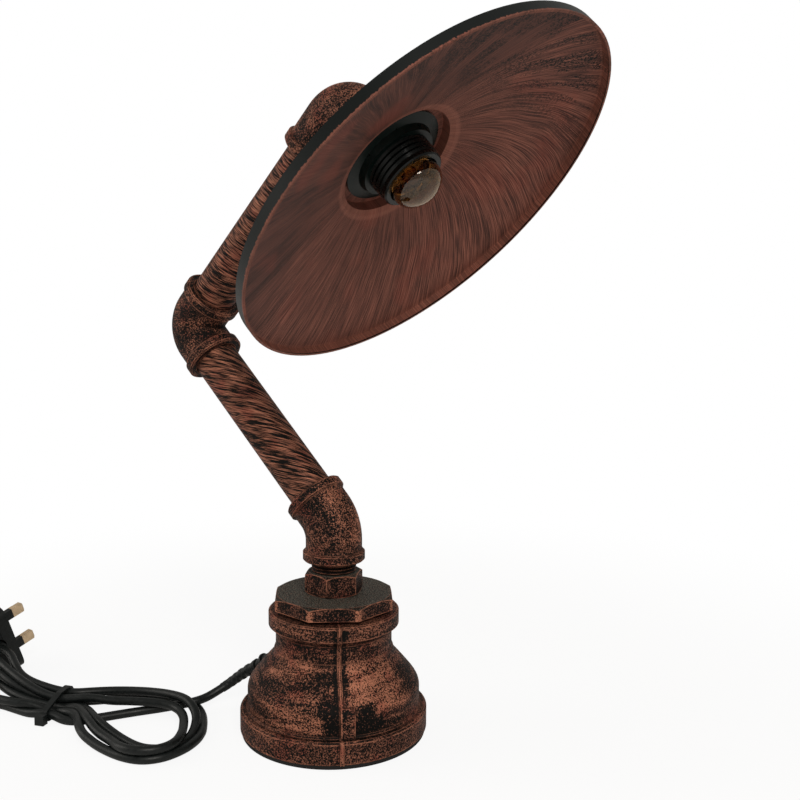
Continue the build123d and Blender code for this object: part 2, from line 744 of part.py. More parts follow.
def cord_parts():
    tie_place = hank_frame * Rot(0, 0, tie_turn)
    slot = Box(tie_width + 0.2, 2 * hank_waist + 12, 4 * hank_height)
    hank = hank_frame * hank_solid() - tie_place * slot
    hank += tie_place * bundle(cord_radius, tie_width + 0.2)
    save("cord_hank", hank)
    tie = bundle(cord_radius + tie_thickness, tie_width)
    tie -= bundle(cord_radius + touch_gap, tie_width + 1)
    knot_side = bundle_side + cord_radius + tie_thickness + tie_knot / 2 - 0.2
    knot = Pos(0, -knot_side, tie_knot_height / 2) * Box(tie_width + 2, tie_knot, tie_knot_height)
    save("cable_tie", tie_place * (tie + knot))

    start = point(gland_frame * Pos(0, 0, gland_nose + touch_gap))
    lead = tube_along([start] + lead_route, cord_radius)
    save("power_cord", lead - hank)
    boot_end = plug_cable_side + plug_boot_length
    out = [point(plug_frame * Pos(-boot_end - rise, 0, -plug_cord_depth)) for rise in (0, 10)]
    tail = tube_along(out + tail_route, cord_radius)
    save("plug_lead", tail - hank)


# ---------------------------------------------------------------- plug
def plug_outline(shrink):
    half = plug_half_width - shrink
    low = -plug_cable_side + shrink
    high = plug_earth_side - shrink
    face = make_face(Polyline(
        (low, half), (high - 8, half), (high, half - 10), (high, -half + 10), (high - 8, -half),
        (low, -half), close=True,
    ))
    face = fillet(face.vertices().sort_by(Axis.X)[:2], plug_cable_round)
    return fillet(face.vertices().sort_by(Axis.X)[4:], plug_edge_round)


def pin(thickness, width, length, nose):
    blade = Box(thickness, width, length + pin_root)
    blade = chamfer(blade.edges().group_by(Axis.Z)[-1], nose)
    return Pos(0, 0, (length - pin_root) / 2) * blade


def plug_parts():
    front = extrude(plug_outline(0), -plug_front_depth)
    back = loft([
        Pos(0, 0, -plug_front_depth) * plug_outline(plug_step),
        Pos(0, 0, -plug_depth) * plug_outline(plug_step + plug_taper),
    ])
    fuse_spot = Pos(6, -line_pin_offset, -plug_front_depth) * Rot(0, 90, 0)
    half_fuse = fuse_length / 2
    pocket = fuse_spot * rod(fuse_radius + fuse_slack, -half_fuse - 0.1, half_fuse + 0.1)
    cord_line = Pos(0, 0, -plug_cord_depth) * Rot(0, -90, 0)
    boot_tip = plug_cable_side + plug_boot_length
    cord_hole = cord_line * rod(plug_boot_radius + touch_gap, plug_boot_root, boot_tip)
    save("plug_body", plug_frame * (back - pocket - cord_hole))
    boot = turned([
        (0, plug_boot_root), (plug_boot_radius, plug_boot_root),
        (plug_boot_radius, plug_boot_root + plug_boot_seat),
        (cord_radius + plug_boot_tip_wall, boot_tip), (0, boot_tip),
    ])
    save("plug_boot", plug_frame * cord_line * boot)
    save("plug_fuse", plug_frame * fuse_spot * rod(fuse_radius, -half_fuse, half_fuse))

    cover = front - pocket - cord_hole
    blade = pin(line_pin_thickness, line_pin_width, line_pin_length, 1.0)
    thickness = line_pin_thickness - 2 * pin_sleeve_wall
    width = line_pin_width - 2 * pin_sleeve_wall
    sleeve = Box(line_pin_thickness, line_pin_width, line_pin_sleeve) - Box(thickness, width, 99)
    sleeve = Pos(0, 0, line_pin_sleeve / 2) * sleeve
    spots = [Pos(0, side * line_pin_offset, 0) for side in (1, -1)]
    save("line_pins", Compound([plug_frame * spot * (blade - sleeve) for spot in spots]))
    save("pin_sleeves", Compound([plug_frame * spot * sleeve for spot in spots]))
    earth = pin(earth_pin_height, earth_pin_width, earth_pin_length, 1.2)
    earth = Pos(earth_pin_offset, 0, 0) * earth
    save("earth_pin", plug_frame * earth)
    for spot in spots:
        cover -= spot * blade
    save("plug_front", plug_frame * (cover - earth))


base_parts()
bush_and_nipple()
arm_parts()
flex_parts()
holder_fixings()
lampholder()
bulb_parts()
cord_parts()
plug_parts()
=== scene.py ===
"""The pipe lamp's camera, cord, looks, floor and lights, around the nodes that come from CAD."""
import json
import math

import bmesh
import bpy
from mathutils import Matrix, Vector


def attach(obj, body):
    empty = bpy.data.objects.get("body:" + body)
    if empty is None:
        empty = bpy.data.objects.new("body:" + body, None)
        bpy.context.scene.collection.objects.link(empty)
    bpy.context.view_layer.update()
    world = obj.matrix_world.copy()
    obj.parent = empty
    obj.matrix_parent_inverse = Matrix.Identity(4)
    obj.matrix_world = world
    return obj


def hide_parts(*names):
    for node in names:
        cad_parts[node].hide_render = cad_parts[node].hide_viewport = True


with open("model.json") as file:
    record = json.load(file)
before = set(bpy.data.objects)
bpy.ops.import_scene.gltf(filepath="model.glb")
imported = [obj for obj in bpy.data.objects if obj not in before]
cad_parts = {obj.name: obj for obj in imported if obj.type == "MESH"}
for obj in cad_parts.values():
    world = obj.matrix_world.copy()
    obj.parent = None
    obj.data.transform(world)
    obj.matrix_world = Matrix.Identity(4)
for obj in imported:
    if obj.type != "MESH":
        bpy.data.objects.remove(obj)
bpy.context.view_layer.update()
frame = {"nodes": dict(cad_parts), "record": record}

MM = 0.001

# ---------------------------------------------------------------- the frame's own lines
# Corners of the three elbows, and the directions of the runs between them.
slant_corner = Vector((0.0, 0.0, 125.0)) * MM
middle_corner = Vector((-112.784, 0.0, 237.784)) * MM
head_corner = Vector((13.161, -5.597, 363.728)) * MM
up = Vector((0.0, 0.0, 1.0))
lower_line = (middle_corner - slant_corner).normalized()
upper_line = (head_corner - middle_corner).normalized()
head_line = Vector((1.0, 0.0, -1.0)).normalized()

# ---------------------------------------------------------------- camera
camera_place = Vector((345.0, -458.2, 262.6)) * MM
camera_turns = ((33.154, "Z"), (-6.417, "X"), (-0.475, "Y"))
camera_lens = 44.646
sensor_width = 36.0
nearest_seen = 0.01


def place_camera():
    """The photograph's view: a little above the lamp's middle, from its front right."""
    data = bpy.data.cameras.new("camera")
    data.sensor_width = sensor_width
    data.lens = camera_lens
    data.clip_start = nearest_seen
    camera = bpy.data.objects.new("camera", data)
    bpy.context.scene.collection.objects.link(camera)
    place = Matrix.Translation(camera_place)
    for degrees, axis in camera_turns:
        place = place @ Matrix.Rotation(math.radians(degrees), 4, axis)
    looking_level = Matrix.Rotation(math.radians(90.0), 4, "X")
    camera.matrix_world = place @ looking_level
    bpy.context.scene.camera = camera


place_camera()

# ---------------------------------------------------------------- the cord
cord_diameter = 5.3 * MM
cord_exit = Vector((-53.14, -7.47, 28.79)) * MM
cord_steps = 10  # from each point of the route to the next
cord_roundness = 5
hank_centre = Vector((-152.05, -81.2, 0.0))
hank_turn = math.radians(33.15)
relief_root = 4.4 * MM
relief_tip = 2.9 * MM
relief_groove = 0.5 * MM
relief_steps = 18  # in each of its two spans
relief_rib = 3  # steps along a rib, and along a groove
relief_sides = 28

# The cord's route in the row frame, in mm: from the gland to the hank, and from it to the plug.
lead_route = [
    (-63.2, -8.1, 22.9), (-72.7, -11.8, 14.5), (-77.9, -21.3, 9.6), (-80.0, -26.6, 7.9),
    (-82.0, -33.7, 7.6), (-86.9, -39.4, 6.8), (-96.8, -46.2, 4.4), (-108.3, -56.0, 2.8),
    (-115.0, -65.9, 2.7), (-121.9, -76.9, 2.7), (-127.3, -85.3, 2.7), (-135.2, -89.7, 2.7),
]
tail_route = [
    (-150.5, -69.5, 9.4), (-160.1, -72.6, 9.4), (-172.3, -75.4, 10.5), (-183.9, -77.2, 12.0),
    (-193.8, -76.9, 14.0), (-202.7, -74.3, 17.5), (-215.4, -68.7, 21.56),
    (-225.33, -67.71, 21.56),
]
# The hank's turns, in its own frame and in mm: along it, across it and up.
left_loop_1 = [
    (2.0, -11.6, 4.0), (-7.7, -8.9, 4.0), (-15.2, -6.6, 2.7), (-26.2, -0.1, 2.7),
    (-38.3, 6.8, 2.7), (-51.0, 10.5, 2.7), (-65.0, 12.5, 2.7), (-79.6, 13.7, 2.8),
    (-91.8, 19.4, 2.9), (-97.3, 30.3, 2.7), (-95.0, 42.0, 2.7), (-85.4, 50.3, 2.9),
    (-71.1, 50.5, 2.8), (-57.0, 43.0, 2.7), (-43.0, 34.0, 2.7), (-30.0, 24.5, 2.7),
    (-18.0, 17.0, 3.0),
]
right_loop_1 = [
    (-2.0, 11.6, 4.0), (7.7, 8.9, 4.0), (21.5, 11.4, 3.3), (38.0, 18.6, 2.7), (54.0, 19.4, 2.7),
    (69.0, 17.6, 2.7), (81.0, 11.5, 2.7), (89.9, -3.2, 2.7), (93.8, -18.0, 2.7),
    (95.9, -34.5, 2.7), (91.4, -49.5, 2.7), (83.6, -59.7, 2.8), (76.3, -64.5, 2.9),
    (68.0, -65.5, 2.7), (58.8, -62.8, 2.7), (48.9, -56.7, 2.7), (37.7, -49.3, 4.1),
    (26.3, -39.9, 7.4), (17.8, -16.3, 7.4),
]
left_loop_2 = [
    (3.4, -6.4, 4.0), (-6.2, -3.8, 4.0), (-15.0, -3.1, 7.2), (-25.0, -2.7, 7.9),
    (-35.9, 1.3, 8.0), (-51.0, 8.5, 8.0), (-65.5, 10.2, 7.9), (-80.2, 11.7, 7.8),
    (-89.2, 21.2, 8.1), (-89.7, 33.7, 8.6), (-82.1, 43.2, 8.9), (-69.6, 45.6, 8.9),
    (-57.1, 38.5, 8.2), (-50.5, 31.2, 8.1), (-36.6, 16.8, 6.9), (-23.7, 8.7, 5.3),
]
right_loop_2 = [
    (-4.8, 1.3, 4.0), (4.8, -1.3, 4.0), (16.5, -9.0, 8.1), (27.0, -28.1, 9.7), (37.1, -41.1, 7.0),
    (47.7, -50.3, 6.5), (56.3, -62.1, 8.0), (66.7, -66.5, 8.4), (77.2, -64.5, 8.1),
    (84.8, -56.6, 7.8), (86.7, -44.8, 8.2), (85.0, -32.0, 7.6), (82.5, -19.9, 7.6),
    (77.3, -11.0, 8.4), (69.2, -6.3, 9.3), (58.3, -4.2, 9.6), (45.5, -2.1, 9.2),
    (32.9, -1.3, 8.8), (20.3, -0.6, 10.7),
]
left_loop_3 = [
    (5.5, 1.2, 8.6), (-4.1, 3.9, 8.6), (-15.0, 8.7, 10.5), (-26.8, 15.3, 13.9),
    (-38.4, 24.4, 16.8), (-53.3, 38.4, 20.3), (-66.0, 46.3, 21.8), (-79.0, 51.6, 22.5),
    (-92.0, 48.4, 22.2), (-98.5, 38.0, 21.0), (-96.5, 26.2, 19.4), (-86.5, 18.2, 17.4),
    (-73.5, 19.0, 16.1), (-61.8, 26.0, 16.4), (-48.6, 28.8, 15.2), (-35.8, 18.9, 11.9),
    (-24.6, 14.1, 7.9),
]
right_loop_3 = [
    (-3.4, 6.4, 4.0), (6.2, 3.8, 4.0), (19.8, -5.7, 5.9), (31.4, -25.9, 8.7), (41.5, -34.9, 6.0),
    (51.5, -41.9, 3.4), (61.7, -49.9, 2.9), (69.6, -53.1, 2.9), (77.3, -52.7, 2.9),
    (84.0, -49.2, 3.0), (88.8, -42.8, 3.3), (90.6, -34.4, 3.9), (90.7, -25.6, 5.3),
    (89.9, -19.2, 8.6), (86.4, -13.9, 12.1), (80.2, -7.4, 13.7), (68.8, 0.8, 12.8),
    (55.2, 8.1, 11.0), (41.6, 12.3, 9.7), (28.8, 12.9, 9.3), (16.8, 11.3, 9.2),
]


def in_row(points):
    """Points of the hank's frame, in the row frame. Both are in mm."""
    turn = Matrix.Rotation(hank_turn, 3, "Z")
    return [tuple(turn @ Vector(p) + hank_centre) for p in points]


def cord_route():
    """The whole route in mm, from the gland into the plug's boot."""
    loops = left_loop_1 + right_loop_1 + left_loop_2 + right_loop_2 + left_loop_3 + right_loop_3
    return [tuple(cord_exit / MM)] + lead_route + in_row(loops) + tail_route


def make_cord():
    """The cord as a round curve along its route. Its radius is given at the points, with a bevel
    of 1, because the curve's bounds count both."""
    curve = bpy.data.curves.new("mains_cord", "CURVE")
    curve.dimensions = "3D"
    route = cord_route()
    spline = curve.splines.new("NURBS")
    spline.points.add(len(route) - 1)
    for knot, place in zip(spline.points, route):
        knot.co = (*(Vector(place) * MM), 1.0)
        knot.radius = cord_diameter / 2
    spline.order_u = 3
    spline.use_endpoint_u = True
    spline.resolution_u = cord_steps
    curve.bevel_depth = 1.0
    curve.bevel_resolution = cord_roundness
    piece = bpy.data.objects.new("mains_cord", curve)
    bpy.context.scene.collection.objects.link(piece)
    return piece


def make_relief(cord):
    """The ribbed sleeve that keeps the cord from kinking where it leaves the gland."""
    # The cord's first two spans are parabolas, each pulled by one point of the route.
    knots = [Vector(point.co[:3]) for point in cord.data.splines[0].points[:4]]
    middle = (knots[1] + knots[2]) / 2
    tip = (knots[2] + knots[3]) / 2
    path = []
    for start, pull, end in ((knots[0], knots[1], middle), (middle, knots[2], tip)):
        for step in range(relief_steps):
            t = step / relief_steps
            path.append(start * (1 - t) ** 2 + pull * (2 * t * (1 - t)) + end * t * t)
    path.append(tip)
    shape = bmesh.new()
    rings = []
    for index, centre in enumerate(path):
        ahead = path[min(index + 1, len(path) - 1)]
        behind = path[max(index - 1, 0)]
        along = (ahead - behind).normalized()
        side = along.cross(up).normalized()
        top = side.cross(along)
        share = index / (len(path) - 1)
        radius = relief_root + (relief_tip - relief_root) * math.sqrt(share)
        if index % (2 * relief_rib) >= relief_rib:
            radius -= relief_groove * (1 - share)
        ring = []
        for corner in range(relief_sides):
            turn = 2 * math.pi * corner / relief_sides
            out = side * math.cos(turn) + top * math.sin(turn)
            ring.append(shape.verts.new(centre + radius * out))
        rings.append(ring)
    for near_ring, far_ring in zip(rings, rings[1:]):
        for a, b, c, d in zip(
            near_ring, near_ring[1:] + near_ring[:1], far_ring[1:] + far_ring[:1], far_ring
        ):
            shape.faces.new((a, b, c, d))
    shape.faces.new(rings[0])
    shape.faces.new(reversed(rings[-1]))
    bmesh.ops.recalc_face_normals(shape, faces=shape.faces)
    mesh = bpy.data.meshes.new("cord_relief")
    shape.to_mesh(mesh)
    shape.free()
    piece = bpy.data.objects.new("cord_relief", mesh)
    bpy.context.scene.collection.objects.link(piece)
    return piece


mains_cord = make_cord()
cord_relief = make_relief(mains_cord)
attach(mains_cord, "base")
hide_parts("power_cord", "cord_hank", "plug_lead")
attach(cord_relief, "base")


# ---------------------------------------------------------------- shader helpers
look_samples = 6
stroke_roughness = 0.6


def put(tree, socket, value):
    """Links value to the socket if it is an output, and otherwise sets the socket to it."""
    if isinstance(value, bpy.types.NodeSocket):
        tree.links.new(value, socket)
    else:
        socket.default_value = value


def add_node(tree, kind, *inputs, output=0, **settings):
    """Adds a node with its settings, fills its inputs and returns one of its outputs."""
    node = tree.nodes.new(kind)
    for key, value in settings.items():
        setattr(node, key, value)
    for place, value in inputs:
        put(tree, node.inputs[place], value)
    return node.outputs[output]


class Shader:
    """A material and short calls that add nodes to it. Most of them return an output."""

    def __init__(self, name):
        self.material = bpy.data.materials.new(name)
        self.material.use_nodes = True
        self.tree = self.material.node_tree
        self.surface = self.tree.nodes["Principled BSDF"]

    def add(self, kind, *inputs, output=0, **settings):
        return add_node(self.tree, kind, *inputs, output=output, **settings)

    def set(self, name, value):
        put(self.tree, self.surface.inputs[name], value)

    def math(self, operation, *values, clamp=False):
        inputs = enumerate(values)
        return self.add("ShaderNodeMath", *inputs, operation=operation, use_clamp=clamp)

    def plus(self, a, b, clamp=False):
        return self.math("ADD", a, b, clamp=clamp)

    def minus(self, a, b, clamp=False):
        return self.math("SUBTRACT", a, b, clamp=clamp)

    def times(self, *values):
        result = values[0]
        for value in values[1:]:
            result = self.math("MULTIPLY", result, value)
        return result

    def most(self, *values):
        result = values[0]
        for value in values[1:]:
            result = self.math("MAXIMUM", result, value)
        return result

    def reach(self, x, y):
        """The distance from the axis."""
        return self.math("SQRT", self.plus(self.times(x, x), self.times(y, y)))

    def vector(self, operation, a, b, output=0):
        return self.add("ShaderNodeVectorMath", (0, a), (1, b), operation=operation, output=output)

    def dot(self, a, b):
        return self.vector("DOT_PRODUCT", a, b, output="Value")

    def join(self, x, y, z):
        return self.add("ShaderNodeCombineXYZ", (0, x), (1, y), (2, z))

    def parts(self, vector):
        """The three outputs x, y and z."""
        node = self.tree.nodes.new("ShaderNodeSeparateXYZ")
        put(self.tree, node.inputs[0], vector)
        return node.outputs

    def place(self):
        """The point at rest, in the row frame, in metres."""
        return self.add("ShaderNodeTexCoord", output="Object")

    def normal(self):
        """The surface's normal at rest, in the row frame."""
        return self.add("ShaderNodeTexCoord", output="Normal")

    def local(self, origin, axis, facing=(0.0, 0.0, 1.0)):
        """The point in a frame with +Z along axis, and +X towards facing."""
        z = Vector(axis).normalized()
        y = z.cross(Vector(facing)).normalized()
        x = y.cross(z)
        turn = Matrix((x, y, z)).transposed().to_euler()
        return self.add(
            "ShaderNodeMapping", ("Vector", self.place()), ("Location", origin),
            ("Rotation", turn), vector_type="TEXTURE",
        )

    def noise(self, vector, scale, detail=2.0, roughness=0.5, distortion=0.0):
        return self.add(
            "ShaderNodeTexNoise", ("Vector", vector), ("Scale", scale), ("Detail", detail),
            ("Roughness", roughness), ("Distortion", distortion),
        )

    def strokes(self, x, y, z, detail):
        """Noise on coordinates that are scaled less along the brush than across it."""
        return self.noise(self.join(x, y, z), 1.0, detail, stroke_roughness)

    def ramp(self, value, low, high, to_low=0.0, to_high=1.0):
        """A smooth step from low to high. They may be given the other way round."""
        return self.add(
            "ShaderNodeMapRange", ("Value", value), ("From Min", low), ("From Max", high),
            ("To Min", to_low), ("To Max", to_high), interpolation_type="SMOOTHSTEP",
        )

    def near(self, value, centre, half, soft):
        """1 within half of centre, fading to 0 over soft."""
        away = self.math("ABSOLUTE", self.minus(value, centre))
        return self.ramp(away, half + soft, half)

    def mix(self, factor, a, b):
        """From colour a to colour b. The sockets are the mix node's own for colours."""
        return self.add(
            "ShaderNodeMix", (0, factor), (6, a), (7, b), data_type="RGBA", output=2
        )

    def edges(self, radius):
        """1 on the part's sharp edges, both outside and inside corners."""
        rounded = self.add("ShaderNodeBevel", ("Radius", radius), samples=look_samples)
        flat = self.add("ShaderNodeNewGeometry", output="Normal")
        return self.ramp(self.dot(rounded, flat), 0.998, 0.95)

    def openness(self, distance):
        """1 in the open, less in a crevice."""
        return self.add(
            "ShaderNodeAmbientOcclusion", ("Distance", distance), output="AO",
            samples=look_samples, only_local=True,
        )

    def bump(self, height, distance, strength):
        raised = self.add(
            "ShaderNodeBump", ("Height", height), ("Distance", distance), ("Strength", strength)
        )
        self.set("Normal", raised)

    def finish(self, colour, roughness, metallic=0.0):
        self.set("Base Color", colour)
        self.set("Roughness", roughness)
        self.set("Metallic", metallic)
        return self.material


# ---------------------------------------------------------------- the antique finish
black_paint = (0.0022, 0.0021, 0.0018, 1.0)
top_speckle_grey = (0.105, 0.097, 0.080, 1.0)
dull_copper = (0.165, 0.067, 0.044, 1.0)
bright_copper = (0.440, 0.175, 0.105, 1.0)
red_copper = (0.210, 0.050, 0.034, 1.0)
antique_shine = 0.08
bare_roughness = 0.6
grain_scale = 1250.0
grain_depth = 0.35 * MM
edge_scale = 160.0
edge_width = 0.9 * MM
crevice_shade_depth = 3.5 * MM
# The grain has caught copper where it rises above this level, which a full amount lowers.
bare_level = 0.66
level_drop = 0.24


def rub_copper(shader, copper, ground, lift, tint, redness, roughness, metallic):
    """Copper where copper is 1, over the ground. lift takes it from dull to bright, tint is the
    noise that turns it red, and roughness and metallic are those of the copper."""
    metal = shader.mix(lift, dull_copper, bright_copper)
    metal = shader.mix(shader.ramp(tint, 0.5, 0.66, 0.0, redness), metal, red_copper)
    colour = shader.mix(copper, ground, metal)
    shader.set("Specular IOR Level", antique_shine)
    rough = shader.ramp(copper, 0.0, 1.0, bare_roughness, roughness)
    return shader.finish(colour, rough, shader.times(copper, metallic))


def antique(shader, amount, bright, ground=black_paint):
    """A grainy casting. amount says how much of the grain has caught copper, and bright lifts
    the copper's colour. Sharp edges in the open are rubbed bare."""
    place = shader.place()
    grain = shader.noise(place, grain_scale, detail=1.5, roughness=0.6, distortion=0.8)
    level = shader.minus(bare_level, shader.times(amount, level_drop))
    caught = shader.ramp(shader.minus(grain, level), -0.04, 0.07)
    # Crevices keep no copper: partly paint that the brush missed, partly painted shade.
    open_unshaded = shader.ramp(shader.openness(crevice_shade_depth), 0.62, 0.95)
    worn = shader.ramp(shader.noise(place, edge_scale), 0.35, 0.55, 0.35, 1.0)
    edge = shader.times(shader.edges(edge_width), open_unshaded, worn)
    copper = shader.most(shader.times(caught, open_unshaded), edge)
    lift = shader.most(bright, shader.times(edge, 0.8))
    tint = shader.noise(place, scale=70.0, detail=3.0)
    shader.bump(grain, grain_depth, strength=0.8)
    return rub_copper(
        shader, copper, ground, lift, tint, redness=0.55, roughness=0.5, metallic=0.3
    )


# Spots on the base casting, as (angle, height, strength). The angle runs from the seam to the
# right in radians, and the height from the foot in mm. Each is a centre, how far the spot is
# full to both sides of it, and the soft edge past that.
rubbed_left = ((-0.50, 0.25, 0.25), (24, 5, 5), 0.8)
rubbed_upper_left = ((-0.80, 0.25, 0.30), (48, 3, 6), 0.6)
rubbed_right = ((0.50, 0.25, 0.30), (40, 8, 8), 1.0)
black_left_of_seam = ((-0.14, 0.05, 0.12), (22, 9, 8), 1.0)
black_right_of_pad = ((0.29, 0.06, 0.09), (23, 7, 5), 1.0)
black_above_pad = ((0.06, 0.03, 0.04), (58, 16, 6), 0.7)
seam_shadow = ((-0.045, 0.02, 0.04), (52, 20, 6), 0.8)
seam_line = ((0.0, 0.006, 0.009), (45, 40, 2), 1.0)
seam_angle = math.radians(-48.3)
band_middles = (80 * MM, 7 * MM)
band_half = 7 * MM
band_soft = 1 * MM
collar_top = 79 * MM
brush_around = 26.0
brush_up = 190.0
mean_radius = 50 * MM


def reducer_finish():
    """The base casting: brush strokes round it, and black beside the bright seam and its pad."""
    shader = Shader("antique_base_casting")
    # The frame faces away from the seam and the signs turn it round, so that the angle is 0 at
    # the seam and jumps on the far side.
    back = (-math.cos(seam_angle), -math.sin(seam_angle), 0.0)
    x, y, z = shader.parts(shader.local((0.0, 0.0, 0.0), up, back))
    angle = shader.math("ARCTAN2", shader.times(y, -1.0), shader.times(x, -1.0))
    cloud = shader.noise(shader.place(), scale=60.0, roughness=0.6)
    middling = shader.minus(cloud, 0.5)
    height = shader.plus(z, shader.times(middling, 6 * MM))
    ragged = shader.plus(angle, shader.times(middling, 0.5))
    around = shader.times(angle, mean_radius)
    brushed = shader.strokes(
        shader.times(around, brush_around), shader.times(height, brush_up), 0.0, detail=3.0
    )

    def spot(way, level, angle_height_strength):
        angles, heights, strength = angle_height_strength
        heights = [value * MM for value in heights]
        return shader.times(shader.near(way, *angles), shader.near(level, *heights), strength)

    rubbed = shader.most(
        spot(angle, height, rubbed_left), spot(angle, height, rubbed_upper_left),
        spot(angle, height, rubbed_right),
    )
    black = shader.most(
        spot(ragged, z, black_left_of_seam), spot(ragged, height, black_right_of_pad),
        spot(angle, z, black_above_pad), spot(angle, z, seam_shadow),
    )
    band = shader.most(*(shader.near(z, middle, band_half, band_soft) for middle in band_middles))
    line = shader.times(spot(angle, z, seam_line), shader.ramp(cloud, 0.3, 0.55, 0.35, 1.0))
    # Painted shade: the collar's top face, in the gap under the octagon, gets no copper and stays
    # black.
    top = shader.ramp(shader.parts(shader.normal())[2], 0.5, 0.9)
    painted_collar_shade = shader.times(top, shader.ramp(z, collar_top - 3 * MM, collar_top))

    amount = shader.ramp(brushed, 0.34, 0.66, 0.22, 0.72)
    amount = shader.plus(amount, shader.times(rubbed, 0.28))
    amount = shader.minus(amount, shader.times(black, shader.ramp(band, 0.0, 1.0, 0.85, 0.2)))
    amount = shader.most(amount, shader.times(band, 0.50), shader.times(line, 1.3))
    amount = shader.minus(amount, shader.times(painted_collar_shade, 2.0))
    bright = shader.ramp(brushed, 0.45, 0.7, 0.1, 0.45)
    bright = shader.plus(bright, shader.times(rubbed, 0.5), clamp=True)
    bright = shader.most(bright, shader.times(line, 0.4))
    return antique(shader, amount, bright)


elbow_reach = 16 * MM


def elbow_finish(name, corner, inlet_line, outlet_line, level):
    """The bend's outside gets more copper and a painted highlight. level is the least copper."""
    shader = Shader(name)
    place = shader.place()
    cloud = shader.noise(place, scale=85.0)
    bend = (inlet_line - outlet_line).normalized()
    out = shader.dot(shader.vector("SUBTRACT", place, corner), bend)
    # More copper and a painted highlight on the outside of the bend.
    outside = shader.ramp(out, 0.0, elbow_reach)
    amount = shader.ramp(cloud, 0.36, 0.66, level, level + 0.35)
    amount = shader.plus(amount, shader.times(outside, 0.22))
    bright = shader.ramp(cloud, 0.5, 0.7, 0.0, 0.4)
    bright = shader.plus(shader.times(outside, 0.5), bright, clamp=True)
    return antique(shader, amount, bright)


octagon_turn = math.radians(14.5)
octagon_side = math.pi / 4
hexagon_reach = 25 * MM
octagon_reach = 27 * MM
top_speckle_scale = 1500.0


def fitting_finish():
    """The bush and the nipple: mostly black, with copper down the octagon's corners, a trace of
    it elsewhere, and a grey speckle on what faces up."""
    shader = Shader("antique_fitting")
    place = shader.place()
    cloud = shader.noise(place, scale=110.0)
    upward = shader.parts(shader.normal())[2]
    side = shader.ramp(shader.math("ABSOLUTE", upward), 0.9, 0.5)
    x, y = shader.parts(place)[:2]
    octagon = shader.ramp(shader.reach(x, y), hexagon_reach, octagon_reach)
    # Counted in sides from a corner, so that each whole number is a corner.
    turns = shader.minus(shader.math("ARCTAN2", y, x), octagon_turn)
    turns = shader.math("DIVIDE", turns, octagon_side)
    from_corner = shader.math("ABSOLUTE", shader.minus(turns, shader.math("ROUND", turns)))
    corner = shader.times(shader.ramp(from_corner, 0.10, 0.055), octagon, side)
    amount = shader.ramp(cloud, 0.38, 0.66, 0.22, 0.6)
    # Less copper on faces that point up or down; under the octagon, above the collar, this is
    # painted shade.
    amount = shader.times(amount, shader.ramp(side, 0.0, 1.0, 0.2, 1.0))
    amount = shader.most(amount, shader.times(corner, 0.85))
    # A grey speckle on faces that point up.
    top_speckle = shader.ramp(shader.noise(place, top_speckle_scale), 0.44, 0.58)
    speckled_top = shader.times(shader.ramp(upward, 0.8, 0.95), top_speckle)
    ground = shader.mix(speckled_top, black_paint, top_speckle_grey)
    return antique(shader, amount, shader.times(corner, 0.7), ground)


pipe_bare_level = 0.65
pipe_level_drop = 0.22
pipe_crevice_shade = 5 * MM
pipe_line_depth = 0.15 * MM


def pipe_finish(name, origin, line, twist, across, along):
    """Hair-fine copper brush lines, wound round the pipe. twist is in radians per metre, and
    across and along are the scales of the noise across the lines and along them."""
    shader = Shader(name)
    local = shader.local(origin, line)
    x, y, z = shader.parts(local)
    turn = shader.times(z, twist)
    cosine = shader.math("COSINE", turn)
    sine = shader.math("SINE", turn)
    wound_x = shader.plus(shader.times(x, cosine), shader.times(y, sine))
    wound_y = shader.minus(shader.times(y, cosine), shader.times(x, sine))

    def strokes(width, length):
        return shader.strokes(
            shader.times(wound_x, across * width), shader.times(wound_y, across * width),
            shader.times(z, along * length), detail=2.0,
        )

    fine = strokes(width=1.0, length=1.0)
    broad = strokes(width=0.22, length=0.55)
    amount = shader.ramp(broad, 0.36, 0.60)
    level = shader.minus(pipe_bare_level, shader.times(amount, pipe_level_drop))
    caught = shader.ramp(shader.minus(fine, level), -0.05, 0.08)
    # Less copper in crevices: partly paint that the brush missed, partly painted shade.
    copper = shader.times(caught, shader.ramp(shader.openness(pipe_crevice_shade), 0.45, 0.9))
    lift = shader.ramp(fine, 0.5, 0.72)
    tint = shader.noise(local, scale=60.0, detail=3.0)
    shader.bump(fine, pipe_line_depth, strength=0.5)
    return rub_copper(
        shader, copper, black_paint, lift, tint, redness=0.5, roughness=0.48, metallic=0.35
    )


# ---------------------------------------------------------------- the shade's finish
shade_brown = (0.128, 0.045, 0.032, 1.0)
shade_light = (0.330, 0.122, 0.082, 1.0)
shade_red = (0.170, 0.042, 0.028, 1.0)
shade_dark = (0.022, 0.0105, 0.0085, 1.0)
shade_black = (0.0022, 0.0036, 0.0034, 1.0)
shade_shine = 0.18
shade_swirl = 3.2  # radians per metre
shade_line_depth = 0.10 * MM
rim_depth = 80.6 * MM
rim_radius = 117.6 * MM
hole_radius = 34.0 * MM
step_radius = 65 * MM
past_step = 75 * MM


